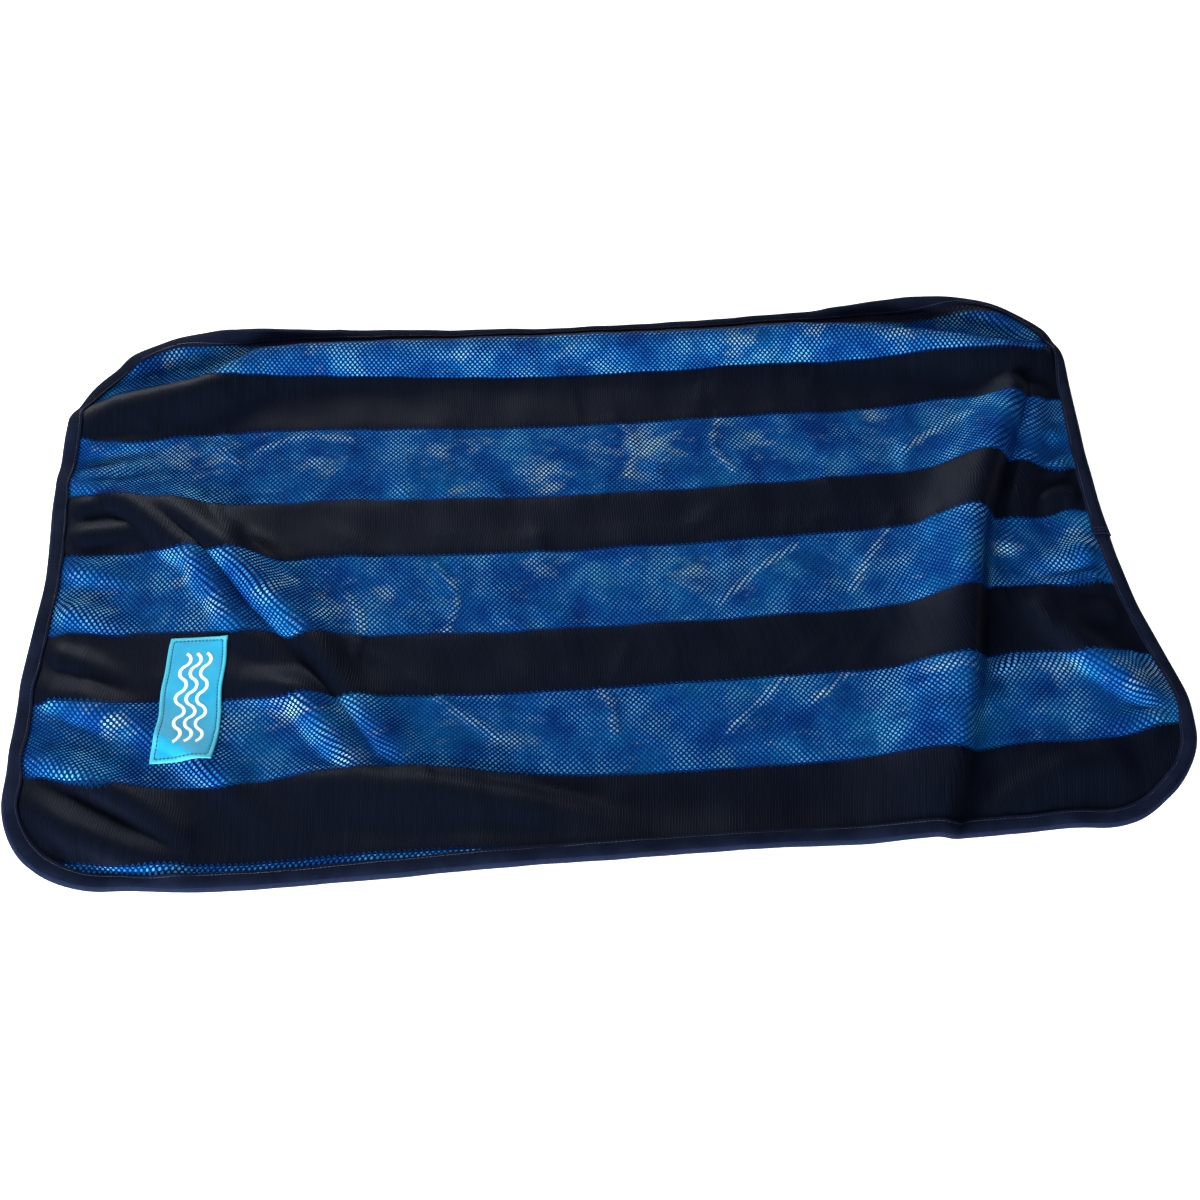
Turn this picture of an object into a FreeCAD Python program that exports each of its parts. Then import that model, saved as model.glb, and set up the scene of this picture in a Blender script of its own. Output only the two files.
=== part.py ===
"""Striped cooling sheet for a horse, lying loosely on a floor.

A rectangular sandwich of cloth with rounded corners: a back cloth, an absorbent lining and a face
cloth knitted in alternating bands, open net and dense ribbed knit. One tape folds round the whole
edge, is sewn down by one row of lockstitch, and its end laps over its start on the right edge.
A woven label is sewn on near the front left corner.

Units are millimetres. The origin is the middle of the resting sheet's box, at floor height.
+X runs along the bands, +Y to the far long edge, +Z up. Layers are stacked upwards from the floor.
"""
import FreeCAD
import Part

import math
import os

# Overall sizes, as the sheet lies.
LENGTH = 800.0
WIDTH = 488.0
CORNER_RADIUS = 76.0

# Bands of the face cloth, counted from the far long edge to the near one.
KNIT_BAND_COUNT = 4
KNIT_BAND = 54.5
FIRST_NET_BAND = 60.0
LAST_NET_BAND = 17.0
BAND_SEAM = 0.2

# Thicknesses of the layers and the free space between them.
TAPE_THICKNESS = 0.8
BACK_THICKNESS = 0.8
LINING_THICKNESS = 2.0
FACE_THICKNESS = 1.0
LAYER_GAP = 0.25

# Binding tape and the row of stitches that holds it.
TAPE_WIDTH = 12.0
THREAD_WIDTH = 0.6
THREAD_DEPTH = 0.4
THREAD_GAP = 0.15
SEAM_FROM_TAPE_EDGE = 2.0

# Where the tape's end laps over its start: place along the right edge and sizes.
LAP_PLACE = 8.0
LAP_LENGTH = 22.0
LAP_THICKNESS = 0.7
TACK_LENGTH = 8.0

# Sewn label, placed from the left and near edges, and turned by an angle in degrees.
LABEL_FROM_LEFT = 98.0
LABEL_FROM_NEAR = 89.0
LABEL_WIDTH = 41.0
LABEL_LENGTH = 100.0
LABEL_THICKNESS = 0.7
LABEL_TURN = -2.0
LABEL_SEAM_INSET = 3.0

# Plain wave lines woven on the label, made of arcs that bulge to either side in turn.
WAVE_COUNT = 3
WAVE_PITCH = 7.0
WAVE_WIDTH = 2.2
WAVE_RADIUS = 6.0
WAVE_HALF_ANGLE = 60.0
WAVE_ARCS = 7
WAVE_HEIGHT = 0.15

# Soft folds that lift the whole sandwich off the floor: a line of points, given as shares of half
# the length and half the width, then the ridge's height and its half width.
FOLDS = {
    "far_ridge": ([(-0.64, 0.77), (-0.40, 0.87), (0.30, 0.85), (0.90, 0.71)], 21.0, 22.0),
    "right_fold": ([(0.87, 0.52), (0.75, 0.03), (0.66, -0.59), (0.59, -0.96)], 23.0, 22.0),
    "right_edge_fold": ([(0.93, 0.52), (0.87, 0.23), (0.885, 0.0)], 15.0, 18.0),
    "left_fold": ([(-0.93, 0.41), (-0.61, -0.07), (-0.31, -0.66)], 12.0, 24.0),
    "label_fold": ([(-0.95, -0.04), (-0.70, -0.41), (-0.50, -0.73)], 10.0, 22.0),
    "near_left_fold": ([(-0.93, -0.72), (-0.69, -0.91)], 9.0, 20.0),
    "near_edge_wave": ([(0.02, -0.90), (0.30, -0.98)], 7.0, 30.0),
}
FOLD_GRID = 20.0
SURFACE_MARGIN = 30.0
SURFACE_DEGREE = 3

# Sizes and heights that follow from the values above.
NET_BAND = (WIDTH - FIRST_NET_BAND - LAST_NET_BAND - KNIT_BAND_COUNT * KNIT_BAND) / (KNIT_BAND_COUNT - 1)
BACK_Z = TAPE_THICKNESS + LAYER_GAP
LINING_Z = BACK_Z + BACK_THICKNESS + LAYER_GAP
FACE_Z = LINING_Z + LINING_THICKNESS + LAYER_GAP
FACE_TOP = FACE_Z + FACE_THICKNESS
LEAF_Z = FACE_TOP + LAYER_GAP
TAPE_TOP = LEAF_Z + TAPE_THICKNESS
LAP_Z = TAPE_TOP + THREAD_GAP
LAP_TOP = LAP_Z + LAP_THICKNESS
LABEL_Z = FACE_TOP + LAYER_GAP
LABEL_TOP = LABEL_Z + LABEL_THICKNESS
LABEL_X = LABEL_FROM_LEFT + LABEL_WIDTH / 2 - LENGTH / 2
LABEL_Y = LABEL_FROM_NEAR + LABEL_LENGTH / 2 - WIDTH / 2
CLOTH_INSET = TAPE_THICKNESS + LAYER_GAP
SEAM_INSET = TAPE_WIDTH - SEAM_FROM_TAPE_EDGE

# Reach of the upright columns that cut the layers to their plan, and of the cuts for the threads.
COLUMN_LOW = -10.0
COLUMN_HIGH = 90.0
CUT_PAST = 1.0


def distance_to_line(x, y, points):
    """Distance from (x, y) to the nearest of the straight runs between the points."""
    distances = []
    for (ax, ay), (bx, by) in zip(points, points[1:]):
        dx, dy = bx - ax, by - ay
        along = ((x - ax) * dx + (y - ay) * dy) / (dx * dx + dy * dy)
        along = min(1.0, max(0.0, along))
        distances.append(math.hypot(x - ax - along * dx, y - ay - along * dy))
    return min(distances)


def lift(x, y):
    """Height that the folds add at (x, y). Where folds meet, the higher one leads."""
    squares = 0.0
    for points, height, half_width in FOLDS.values():
        line = [(u * LENGTH / 2, v * WIDTH / 2) for u, v in points]
        share = math.exp(-((distance_to_line(x, y, line) / half_width) ** 2))
        squares += (height * share) ** 2
    return math.sqrt(squares)


def pole_places(half_size, spans):
    """Places of a clamped spline's poles that make it run evenly from -half_size to half_size."""
    knots = [0] * SURFACE_DEGREE + list(range(spans + 1)) + [spans] * SURFACE_DEGREE
    places = []
    for i in range(spans + SURFACE_DEGREE):
        share = sum(knots[i + 1:i + 1 + SURFACE_DEGREE]) / SURFACE_DEGREE / spans
        places.append(half_size * (2 * share - 1))
    return places


def lift_surface():
    """Smooth surface a little larger than the sheet. Its poles stand at the folds' heights, so it
    never dips below the floor."""
    half_x = LENGTH / 2 + SURFACE_MARGIN
    half_y = WIDTH / 2 + SURFACE_MARGIN
    spans_x = int(round(2 * half_x / FOLD_GRID))
    spans_y = int(round(2 * half_y / FOLD_GRID))
    poles = []
    for x in pole_places(half_x, spans_x):
        poles.append([FreeCAD.Vector(x, y, lift(x, y)) for y in pole_places(half_y, spans_y)])
    surface = Part.BSplineSurface()
    ends = SURFACE_DEGREE + 1
    surface.buildFromPolesMultsKnots(
        poles,
        [ends] + [1] * (spans_x - 1) + [ends],
        [ends] + [1] * (spans_y - 1) + [ends],
        list(range(spans_x + 1)),
        list(range(spans_y + 1)),
        False, False, SURFACE_DEGREE, SURFACE_DEGREE)
    return surface.toShape()


LIFT_FACE = lift_surface()


def outline(inset):
    """Plan of the sheet, a rectangle with rounded corners, moved inwards by inset."""
    half_x, half_y = LENGTH / 2 - inset, WIDTH / 2 - inset
    radius = CORNER_RADIUS - inset
    flat_x, flat_y = half_x - radius, half_y - radius
    bend = radius * math.cos(math.radians(45))
    edges = []
    for sx, sy in ((1, 1), (-1, 1), (-1, -1), (1, -1)):
        on_side = FreeCAD.Vector(sx * half_x, sy * flat_y, 0)
        on_bend = FreeCAD.Vector(sx * (flat_x + bend), sy * (flat_y + bend), 0)
        on_end = FreeCAD.Vector(sx * flat_x, sy * half_y, 0)
        edges.append(Part.Arc(on_side, on_bend, on_end).toShape())
    for sign in (1, -1):
        left = FreeCAD.Vector(-flat_x, sign * half_y, 0)
        right = FreeCAD.Vector(flat_x, sign * half_y, 0)
        near = FreeCAD.Vector(sign * half_x, -flat_y, 0)
        far = FreeCAD.Vector(sign * half_x, flat_y, 0)
        edges.append(Part.LineSegment(left, right).toShape())
        edges.append(Part.LineSegment(near, far).toShape())
    return Part.Face(Part.Wire(Part.__sortEdges__(edges)))


def strip(x_low, x_high, y_low, y_high):
    """Plan rectangle as a face."""
    corners = [(x_low, y_low), (x_high, y_low), (x_high, y_high), (x_low, y_high), (x_low, y_low)]
    return Part.Face(Part.makePolygon([FreeCAD.Vector(x, y, 0) for x, y in corners]))


def layer(plan, z_low, z_high):
    """Solid cloth over a plan face, between two heights above the lift surface."""
    slab = LIFT_FACE.copy()
    slab.translate(FreeCAD.Vector(0, 0, z_low))
    slab = slab.extrude(FreeCAD.Vector(0, 0, z_high - z_low))
    base = plan.copy()
    base.translate(FreeCAD.Vector(0, 0, COLUMN_LOW))
    return slab.common(base.extrude(FreeCAD.Vector(0, 0, COLUMN_HIGH - COLUMN_LOW)))


def ring(outer_inset, inner_inset, z_low, z_high):
    """Strip of cloth that follows the sheet's edge, between two insets."""
    return layer(outline(outer_inset).cut(outline(inner_inset)), z_low, z_high)


def back_cloth():
    return layer(outline(CLOTH_INSET), BACK_Z, BACK_Z + BACK_THICKNESS)


def cooling_lining():
    return layer(outline(CLOTH_INSET), LINING_Z, LINING_Z + LINING_THICKNESS)


def face_band(y_low, y_high):
    plan = outline(CLOTH_INSET).common(strip(-LENGTH, LENGTH, y_low, y_high))
    return layer(plan, FACE_Z, FACE_TOP)


def face_bands():
    """Bands of the face cloth by node name, net and knit in turn from the far edge to the near."""
    half_seam = BAND_SEAM / 2
    bands = {}
    high = WIDTH / 2
    for number in range(1, KNIT_BAND_COUNT + 1):
        low = high - (FIRST_NET_BAND if number == 1 else NET_BAND)
        bands[f"net_band_{number}"] = face_band(low + half_seam, high - half_seam)
        bands[f"knit_band_{number}"] = face_band(low - KNIT_BAND + half_seam, low - half_seam)
        high = low - KNIT_BAND
    bands[f"net_band_{KNIT_BAND_COUNT + 1}"] = face_band(-WIDTH / 2, high - half_seam)
    return bands


def edge_seam(z_low, z_high, clearance=0.0):
    """The run of one thread round the sheet, near the tape's inner edge."""
    half = THREAD_WIDTH / 2 + clearance
    return ring(SEAM_INSET - half, SEAM_INSET + half, z_low, z_high)


def needle_thread():
    return edge_seam(TAPE_TOP - THREAD_DEPTH, TAPE_TOP)


def bobbin_thread():
    return edge_seam(0.0, THREAD_DEPTH)


def binding_tape():
    """Tape folded round the edge, with a groove above and below that the stitches sink into."""
    tape = ring(0.0, TAPE_WIDTH, 0.0, TAPE_TOP)
    tape = tape.cut(layer(outline(TAPE_THICKNESS), TAPE_THICKNESS, LEAF_Z))
    groove = THREAD_DEPTH + THREAD_GAP
    tape = tape.cut(edge_seam(TAPE_TOP - groove, TAPE_TOP + CUT_PAST, THREAD_GAP))
    return tape.cut(edge_seam(-CUT_PAST, groove, THREAD_GAP))


def lap_tack(clearance=0.0, past=0.0):
    """Short bar of thread across the lap, or with a clearance the groove it sinks into."""
    x_middle = (LENGTH - TAPE_WIDTH) / 2
    half_x = TACK_LENGTH / 2 + clearance
    half_y = THREAD_WIDTH / 2 + clearance
    plan = strip(x_middle - half_x, x_middle + half_x, LAP_PLACE - half_y, LAP_PLACE + half_y)
    return layer(plan, LAP_TOP - THREAD_DEPTH - clearance, LAP_TOP + past)


def binding_lap():
    """The tape's last stretch, turned under and sewn over its start."""
    half = LAP_LENGTH / 2
    plan = strip(LENGTH / 2 - TAPE_WIDTH, LENGTH / 2, LAP_PLACE - half, LAP_PLACE + half)
    return layer(plan, LAP_Z, LAP_TOP).cut(lap_tack(THREAD_GAP, CUT_PAST))


def on_label(plan):
    """Move a plan face drawn about the origin to the label's place and turn."""
    plan.rotate(FreeCAD.Vector(0, 0, 0), FreeCAD.Vector(0, 0, 1), LABEL_TURN)
    plan.translate(FreeCAD.Vector(LABEL_X, LABEL_Y, 0))
    return plan


def label_plan(inset):
    half_x, half_y = LABEL_WIDTH / 2 - inset, LABEL_LENGTH / 2 - inset
    return on_label(strip(-half_x, half_x, -half_y, half_y))


def label_thread(clearance=0.0, past=0.0):
    """Stitches round the label, or with a clearance the groove they sink into."""
    half = THREAD_WIDTH / 2 + clearance
    plan = label_plan(LABEL_SEAM_INSET - half).cut(label_plan(LABEL_SEAM_INSET + half))
    return layer(plan, LABEL_TOP - THREAD_DEPTH - clearance, LABEL_TOP + past)


def label():
    return layer(label_plan(0.0), LABEL_Z, LABEL_TOP).cut(label_thread(THREAD_GAP, CUT_PAST))


def wave_side(side):
    """One side of a wave line as arcs from its near end to its far end. side is 1 or -1."""
    angle = math.radians(WAVE_HALF_ANGLE)
    step = 2 * WAVE_RADIUS * math.sin(angle)
    arcs = []
    for number in range(WAVE_ARCS):
        bulge = 1 if number % 2 == 0 else -1
        x = -bulge * WAVE_RADIUS * math.cos(angle)
        y = (number - (WAVE_ARCS - 1) / 2) * step
        radius = WAVE_RADIUS + bulge * side * WAVE_WIDTH / 2
        points = []
        for turn in (-angle, 0.0, angle):
            points.append(FreeCAD.Vector(x + bulge * radius * math.cos(turn), y + radius * math.sin(turn), 0))
        arcs.append(Part.Arc(*points).toShape())
    return arcs


def wave_plan(x):
    """Plan face of one wave line, drawn about the label's middle and moved sideways by x."""
    right, left = wave_side(1), wave_side(-1)
    near = Part.LineSegment(left[0].firstVertex().Point, right[0].firstVertex().Point).toShape()
    far = Part.LineSegment(left[-1].lastVertex().Point, right[-1].lastVertex().Point).toShape()
    face = Part.Face(Part.Wire(Part.__sortEdges__(right + left + [near, far])))
    face.translate(FreeCAD.Vector(x, 0, 0))
    return face


def label_motif():
    """Plain wave lines along the label, each its own solid."""
    waves = []
    for number in range(WAVE_COUNT):
        x = (number - (WAVE_COUNT - 1) / 2) * WAVE_PITCH
        waves.append(layer(on_label(wave_plan(x)), LABEL_TOP, LABEL_TOP + WAVE_HEIGHT))
    return Part.makeCompound(waves)


def main():
    os.makedirs("parts", exist_ok=True)
    pieces = face_bands()
    pieces["back_cloth"] = back_cloth()
    pieces["cooling_lining"] = cooling_lining()
    pieces["binding_tape"] = binding_tape()
    pieces["binding_needle_thread"] = needle_thread()
    pieces["binding_bobbin_thread"] = bobbin_thread()
    pieces["binding_lap"] = binding_lap()
    pieces["lap_tack"] = lap_tack()
    pieces["label"] = label()
    pieces["label_thread"] = label_thread()
    pieces["label_motif"] = label_motif()
    for name, shape in pieces.items():
        Part.makeCompound(shape.Solids).exportStep(f"parts/{name}.step")
        print(f"{name}: {len(shape.Solids)} solids, {shape.Volume:.0f} mm3, valid {shape.isValid()}")


main()
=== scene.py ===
"""Looks of the striped cooling sheet: real net, ribbed knit, bound edge, stitches and sewn label.

The cloth is flat first, in cloth coordinates s along the bands and t across them, in millimetres.
Fold lines lift it off the floor, and every piece is then laid on that folded surface.
"""

import math
import bpy
import numpy as np
from mathutils import Matrix, Vector


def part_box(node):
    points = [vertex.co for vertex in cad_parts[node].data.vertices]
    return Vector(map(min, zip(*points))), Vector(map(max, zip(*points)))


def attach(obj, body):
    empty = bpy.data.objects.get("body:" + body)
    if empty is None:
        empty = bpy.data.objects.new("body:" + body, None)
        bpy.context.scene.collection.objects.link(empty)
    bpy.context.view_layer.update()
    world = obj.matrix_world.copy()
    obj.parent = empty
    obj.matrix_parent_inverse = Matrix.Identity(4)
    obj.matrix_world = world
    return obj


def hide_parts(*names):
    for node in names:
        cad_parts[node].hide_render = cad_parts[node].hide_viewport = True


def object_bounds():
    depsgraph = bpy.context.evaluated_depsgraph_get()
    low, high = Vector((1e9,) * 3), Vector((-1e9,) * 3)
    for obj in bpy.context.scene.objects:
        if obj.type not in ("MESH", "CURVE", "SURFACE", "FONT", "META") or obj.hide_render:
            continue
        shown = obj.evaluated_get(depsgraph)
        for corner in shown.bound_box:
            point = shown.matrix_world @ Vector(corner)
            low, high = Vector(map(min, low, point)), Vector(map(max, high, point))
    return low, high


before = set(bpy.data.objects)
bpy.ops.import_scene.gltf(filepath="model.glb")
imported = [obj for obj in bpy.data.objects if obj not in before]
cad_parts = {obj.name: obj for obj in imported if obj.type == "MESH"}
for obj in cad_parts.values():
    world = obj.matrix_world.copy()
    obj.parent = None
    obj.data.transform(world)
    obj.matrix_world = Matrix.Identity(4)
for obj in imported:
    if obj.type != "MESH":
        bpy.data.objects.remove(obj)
cad_low, cad_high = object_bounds()

MM = 0.001
SEED = 11

# ---- sizes, in millimetres
LENGTH = (cad_high.x - cad_low.x) / MM
LAID_WIDTH = (cad_high.y - cad_low.y) / MM
FLAT_WIDTH = 500.0
HALF_S, HALF_T = LENGTH / 2, FLAT_WIDTH / 2
CORNER_RADIUS = 76.0

# Heights of the layers above the lifted floor.
BACK_Z = 1.2
LINING_Z = 4.32
FACE_Z = 4.6
KNIT_Z = 4.85
NEEDLE_Z = 6.2
BOBBIN_Z = 0.42

# How far from the cut edge the layers, the knit and the net end, all under the binding, and where
# their grids of points start and how far apart the points are.
LAYER_END = 1.2
LAYER_MARGIN = 1.5
LINING_STEP, BACK_STEP = 2.5, 4.0
KNIT_END = 3.5
KNIT_MARGIN = 2
NET_END = 4.5

# Bands of the face cloth from the far edge, and how far they run askew.
KNIT = 54.5
NET = 68.5
FIRST_NET = 63.0
BAND_SKEW = 7.0
NET_BANDS = 5

# Painted shade: the first net's strip beside the far binding, behind the long ridge; and the plan y of
# the far edge there.
STRIP_WIDTH = 10.0
STRIP_MIDDLE = 20.0
STRIP_HALF = 215.0
STRIP_TAPER = 60.0
FAR_EDGE_Y = 231.0

# The net: holes in staggered rows. Its strands are highest at the knots and slope down to the holes.
HOLE_PITCH = 3.75
ROW_PITCH = 2.075
HOLE_SIDES = 8
HOLE_RADII = (0.9 * 1.02, 0.9 * 1.08)
STRAND_RISE = 0.34
STRAND_SAG = 0.72
HOLE_SINK = 0.12

# The ribbed knit, rolled down at a band's two edges.
RIB_PITCH = 1.875
RIB_RISE = 0.16
RIB_POINTS = 4
KNIT_ROWS = 15
ROLL_DROP = 0.5
ROLL_REACH = 0.8

# Binding tape, its lap and its stitches.
TAPE_WIDTH = 12.0
SEAM_INSET = 10.2
STITCH = 2.7
STITCH_GAP = 0.35
THREAD = 0.44
THREAD_PROUD, THREAD_SUNK, THREAD_FLATTENED = 0.16, 0.1, 0.75
TAPE_STEP = 0.9
DRAWN_IN, DRAWN_REACH = 0.22, 1.3
# Slow waves of the tape's top leaf: length, phase and share, their height, and the edge's wander.
TAPE_WAVES = [(31, 0, 1), (13, 1.7, 1), (5.3, 0, 0.6)]
TAPE_WAVE_HEIGHT = 0.13
WANDER, WANDER_LENGTH = 0.25, 23
LAP_LENGTH = 22.0
LAP_RISE = 0.8
LAP_CLEAR = 0.06
LAP_FLARE = 0.5
LAP_ROWS = 36
LAP_CUT = 0.25
# The lap's two rows of stitches: their places along it, how many, and the inset of the first.
TACK_ROWS = (-0.36, -0.26)
TACK_COUNT = 4
TACK_FROM = 1.6
TACK_STEP = STITCH - 0.1
# Where the fold lies along the tape's section, and how far from it the tape is rubbed.
FOLD_RUN = TAPE_WIDTH + 1.0
WORN_REACH = 2.2

# Label.
LABEL_SIZE = (41.0, 100.0)
LABEL_TURN = math.radians(-3.0)
LABEL_Z = 5.35
LABEL_THICK = 0.7
LABEL_SEAM = 3.0
LABEL_THREAD = 0.8
LABEL_STITCH_END = 0.45
LABEL_POINTS = (58, 134)
# Its hem bulges at this inset, its seam draws it in, and its cut edge falls off: height and reach.
HEM_INSET = 1.2
HEM_BULGE, HEM_REACH = 0.22, 1.3
SEAM_DIP, SEAM_REACH = 0.3, 0.6
EDGE_FALL, EDGE_REACH = 0.25, 0.3
LABEL_WAVE = 0.12
MOTIF_LOW, MOTIF_CROWN = 0.08, 0.3
# How far from a point a stiff piece is held up by the cloth, across the label and along it.
STIFF_REACH = (9, 12)
WAVE_RADIUS = 6.0
WAVE_HALF_ANGLE = math.radians(60)
WAVE_WIDTH = 2.2
WAVE_PITCH = 7.0
WAVE_ARCS = 7
ARC_STEPS = 14


# ---- fold lines
# Each fold: points (x, y, height) along its crest, then its half width on the left and on the
# right of the way the line runs, each at its start and at its end.
FOLDS = [
    # the long ridge beside the far edge
    ([(-395, 140, 8), (-348, 160, 14), (-295, 171, 17), (-262, 190, 18), (-226, 202, 17),
      (-60, 204, 14), (105, 204, 14), (187, 205, 16), (252, 197, 18), (316, 186, 17), (378, 177, 10)],
     (11, 10), (24, 24)),
    # the lifted far left corner, behind a hollow
    ([(-345, 205, 5), (-300, 222, 9), (-250, 238, 9), (-190, 244, 6)], (16, 16), (9, 9)),
    # the far right corner stands up a little
    ([(220, 240, 4), (290, 234, 9), (345, 218, 9), (376, 192, 6)], (14, 14), (9, 9)),
    # main fold on the right: steep on its east side, long and gentle on its west side
    ([(352, 136, 13), (332, 99, 19), (308, 51, 21), (288, 5, 22), (270, -65, 21), (250, -145, 18),
      (228, -205, 14), (212, -246, 9)], (9, 11), (17, 44)),
    # second fold on the right, short
    ([(366, 132, 8), (349, 83, 9), (336, 45, 8), (314, -5, 5)], (14, 14), (9, 9)),
    # diagonal folds in the near right corner
    ([(326, -70, 4), (350, -108, 10), (366, -125, 10), (388, -148, 5)], (17, 17), (8, 8)),
    ([(262, -222, 3), (306, -199, 7), (345, -192, 5)], (14, 14), (14, 14)),
    # diagonal folds on the left
    ([(-390, 92, 2), (-339, 62, 10), (-301, 25, 11), (-285, 9, 10), (-255, -43, 6), (-225, -78, 2)],
     (13, 13), (8, 8)),
    ([(-350, 84, 2), (-310, 58, 9), (-269, 20, 15), (-239, -16, 14), (-206, -53, 11), (-178, -99, 8),
      (-149, -140, 6), (-130, -175, 2)], (15, 15), (10, 10)),
    ([(-250, -92, 2), (-217, -104, 10), (-201, -113, 11), (-183, -141, 9), (-160, -172, 3)],
     (15, 15), (9, 9)),
    ([(-392, -86, 1), (-345, -108, 8), (-312, -126, 4), (-262, -161, 7), (-232, -190, 3)],
     (13, 13), (10, 10)),
    ([(-392, -138, 1), (-350, -160, 8), (-310, -184, 8), (-280, -206, 3)], (11, 11), (8, 8)),
    ([(-390, -170, 1), (-336, -206, 8), (-280, -232, 3)], (11, 11), (8, 8)),
    # the near edge stands off the floor on both sides of the middle
    ([(-190, -243, 2), (-120, -244, 7), (-30, -243, 10), (60, -243, 9), (150, -244, 6), (260, -240, 4)],
     (36, 18), (12, 12)),
    # swell across the last band: steep towards the far side, gentle towards the near edge
    ([(-210, -172, 2), (-140, -178, 8), (-70, -194, 9), (-10, -212, 7), (34, -228, 2)],
     (10, 9), (32, 20)),
]

# Gathers where the binding holds the cloth: points as above and the half widths at start and end.
# They fade out at the binding, between the two insets.
GATHERS = [
    ([(-398, 120, 4), (-360, 122, 4), (-315, 128, 1)], (7, 7)),
    ([(-398, 92, 4), (-362, 95, 4), (-322, 102, 1)], (7, 7)),
    ([(-398, 64, 6), (-362, 66, 5), (-322, 72, 1)], (7, 8)),
    ([(-398, 35, 7), (-359, 39, 6), (-318, 45, 1)], (7, 8)),
    ([(-398, 8, 5), (-362, 4, 5), (-330, -6, 1)], (7, 8)),
    ([(-398, -22, 6), (-360, -34, 5), (-322, -52, 1)], (8, 9)),
    ([(-398, -55, 5), (-360, -72, 5), (-322, -92, 1)], (7, 8)),
    ([(-398, -92, 4), (-366, -104, 4), (-336, -122, 1)], (6, 7)),
    ([(396, 96, 5), (372, 92, 5), (350, 84, 1)], (7, 7)),
    ([(392, 66, 4), (366, 60, 5), (344, 50, 1)], (6, 6)),
    ([(392, 36, 6), (364, 32, 6), (334, 22, 1)], (7, 8)),
    ([(392, -12, 6), (360, -22, 5), (325, -30, 1)], (8, 9)),
    ([(400, -40, 4), (368, -44, 4), (338, -46, 1)], (6, 7)),
    ([(400, -68, 5), (370, -74, 4), (340, -80, 1)], (7, 8)),
    ([(408, -150, 5), (382, -160, 5), (350, -164, 1)], (7, 8)),
]
GATHER_FROM, GATHER_FULL = 11.0, 28.0

# Thin creases of the lining and the net over it, where the two touch: points (x, y). The lining is
# painted pale along them, a painted highlight where it catches light through the holes.
CREASES = [
    [(156, 0), (128, -18), (94, -45)], [(168, -84), (132, -112), (88, -151)],
    [(236, 24), (214, -6), (192, -40)], [(254, 86), (284, 106), (312, 118)],
    [(-176, -24), (-164, -48), (-168, -78)], [(-112, -2), (-96, -30), (-104, -60)],
    [(206, -78), (180, -108), (148, -132)], [(-130, -96), (-104, -120), (-70, -146)],
    [(-250, 112), (-214, 124), (-176, 120)], [(30, 130), (44, 104), (36, 74)],
    [(112, 126), (104, 98), (118, 74)], [(-20, -98), (6, -120), (10, -148)],
]
CREASE_HEIGHT = 0.7
# how pale the lining is painted along a crease, a painted highlight
CREASE_PALENESS = 0.55
CREASE_PALE_WIDTH = (3.2, 3.2)

# Pale places of the lining, painted highlight where it lies close under the net and catches light through
# the holes: (x, y, reach). Large ones are paler. They are squeezed across the bands and ragged.
PALE_LEAST, PALE_BY_REACH = 0.30, 0.021
PALE_SQUEEZED = 1.4
PALE_RAGGED = 0.35
PALE_PLACES = [
    # under the first net
    (-324, 206, 9), (-268, 214, 9), (-203, 204, 8), (-90, 196, 7), (0, 198, 8), (134, 196, 13),
    (200, 200, 11), (268, 194, 13),
    # under the second
    (-309, 111, 15), (-278, 106, 12), (-199, 95, 13), (-111, 103, 12), (-83, 112, 9), (-97, 65, 10),
    (-30, 82, 16), (-25, 62, 11), (12, 100, 10), (55, 102, 21), (40, 74, 8), (139, 100, 12),
    (236, 118, 12),
    # under the third
    (-358, -16, 8), (-297, -7, 10), (-273, -32, 10), (-186, -39, 12), (-221, -15, 9), (-148, -25, 11),
    (-32, -10, 12), (78, -20, 15), (330, 30, 10), (310, -12, 12), (372, -6, 12),
    # under the fourth
    (-330, -123, 12), (-251, -126, 11), (-212, -122, 13), (-169, -161, 11), (-60, -150, 10),
    (243, -116, 13), (328, -116, 12), (383, -126, 16),
]

# Shallow waves all over: height, wavelength and direction in degrees, and the bend of their crests.
RIPPLES = [(0.6, 92.0, 20.0), (0.5, 61.0, -35.0), (0.4, 43.0, 62.0), (0.3, 33.0, 8.0)]
RIPPLE_SHARE = 0.6
CREST_BEND, CREST_BEND_LENGTH = 9, 70
LEAST_LIFT = 0.9

# Small random wrinkles: how many, and the ranges of their length, height and half width. They lean
# one way on the left and the other way on the right, and are lower in the calm middle.
WRINKLES = 110
WRINKLE_LENGTH = (22, 70)
WRINKLE_HEIGHT = (0.6, 2.2)
WRINKLE_WIDTH = (3.5, 8.0)
WRINKLE_LEAN = (-50, 55)
WRINKLE_TURN = 38
WRINKLE_BEND = 0.2
WRINKLE_END = 0.1
EDGE_CLEAR, FAR_EDGE_CLEAR = 20, 55
CALM_HALF, CALM_SHARE = 230, 0.45

# Where the outline and the bands are pulled sideways: (x, y) of the middle, reach, (dx, dy).
PULLS = [
    ((400, -2), 75, (-7, 0)), ((400, -85), 45, (-4, 0)), ((400, 92), 45, (-3, 0)),
    ((405, -150), 85, (13, 3)), ((395, -225), 45, (-5, 5)), ((305, -250), 50, (0, 6)),
    ((345, 250), 50, (-1, -5)), ((0, 250), 230, (0, -15)), ((-280, 250), 45, (0, -2)),
    ((-400, 250), 105, (10, -18)), ((-365, 215), 60, (5, -7)), ((-400, 10), 60, (5, 0)),
    ((-393, -205), 50, (3, 3)), ((-320, -250), 50, (0, 4)), ((120, -250), 190, (0, 3)),
    ((-250, -250), 120, (0, -3)),
]

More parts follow.
